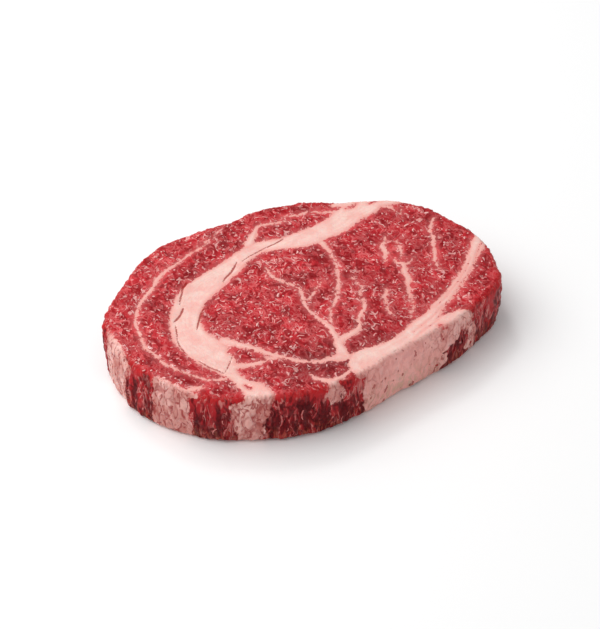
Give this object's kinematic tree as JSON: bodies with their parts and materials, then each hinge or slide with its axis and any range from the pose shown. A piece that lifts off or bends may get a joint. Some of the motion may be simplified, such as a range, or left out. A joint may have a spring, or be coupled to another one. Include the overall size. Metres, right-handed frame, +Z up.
{
  "type": "raw ribeye steak",
  "caption": "Thick boneless raw ribeye steak with a marbled red eye of meat, creamy seams of fat, a rough-cut side and a flat underside to rest on.",
  "frame": {"origin": "middle of the flat underside, at the centre of the steak's bounding box", "axes": "+Z up out of the upper cut face, +X along the length, +Y towards the side where the wide seam of fat reaches the rim"},
  "size_m": [0.184, 0.124, 0.028],
  "materials": {
    "beef": "raw beef, moist and softly glossy, deep red lean with cream-pink fat seams and fine marbling"
  },
  "bodies": {
    "root": {"steak": "beef"}
  },
  "joints": []
}
